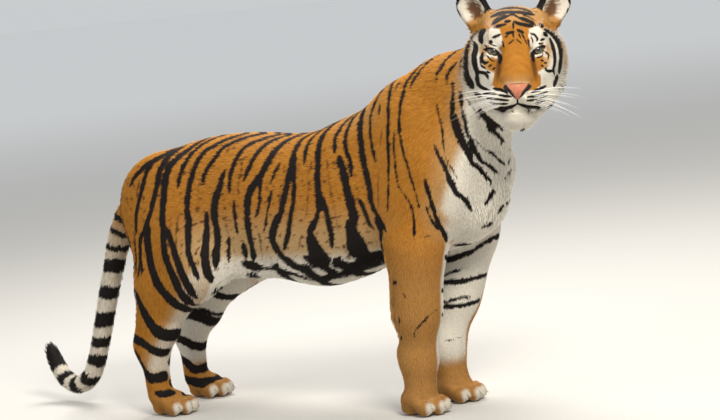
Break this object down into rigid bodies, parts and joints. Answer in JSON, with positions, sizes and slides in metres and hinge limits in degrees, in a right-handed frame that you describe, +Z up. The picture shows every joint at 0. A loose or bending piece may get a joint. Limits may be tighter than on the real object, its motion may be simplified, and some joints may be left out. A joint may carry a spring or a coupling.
{
  "type": "bengal tiger figure",
  "caption": "Life-size still figure of a Bengal tiger standing on all its feet, head turned to its right, tail hanging with an upturned tip.",
  "frame": {"origin": "on the floor, under the middle of the box round the whole animal", "axes": "+X the way the body faces, +Y its left side, +Z up; the soles stand at z = 0"},
  "size_m": [1.909, 0.465, 1.0979],
  "materials": {
    "coat": "short dense fur, orange-ochre with black stripes, white below",
    "coat_pale": "short pale fur of the paws, ears and tail, and whiskers",
    "nose_leather": "bare damp nose skin, pink with dark wings",
    "eye": "wet and glossy, amber-green iris, round black pupil",
    "claw": "smooth pale horn, mostly sheathed"
  },
  "bodies": {
    "root": {"head": "coat", "neck": "coat", "trunk": "coat", "foreleg_left": "coat", "foreleg_right": "coat", "hindleg_left": "coat", "hindleg_right": "coat", "ear_left": "coat_pale", "ear_right": "coat_pale", "forepaw_left": "coat_pale", "forepaw_right": "coat_pale", "hindpaw_left": "coat_pale", "hindpaw_right": "coat_pale", "tail_root": "coat_pale", "tail_middle": "coat_pale", "tail_tip": "coat_pale", "nose_pad": "nose_leather", "eye_left": "eye", "eye_right": "eye", "claw_fore_left_1": "claw", "claw_fore_left_2": "claw", "claw_fore_left_3": "claw", "claw_fore_left_4": "claw", "claw_fore_right_1": "claw", "claw_fore_right_2": "claw", "claw_fore_right_3": "claw", "claw_fore_right_4": "claw", "claw_hind_left_1": "claw", "claw_hind_left_2": "claw", "claw_hind_left_3": "claw", "claw_hind_left_4": "claw", "claw_hind_right_1": "claw", "claw_hind_right_2": "claw", "claw_hind_right_3": "claw", "claw_hind_right_4": "claw"}
  },
  "joints": []
}
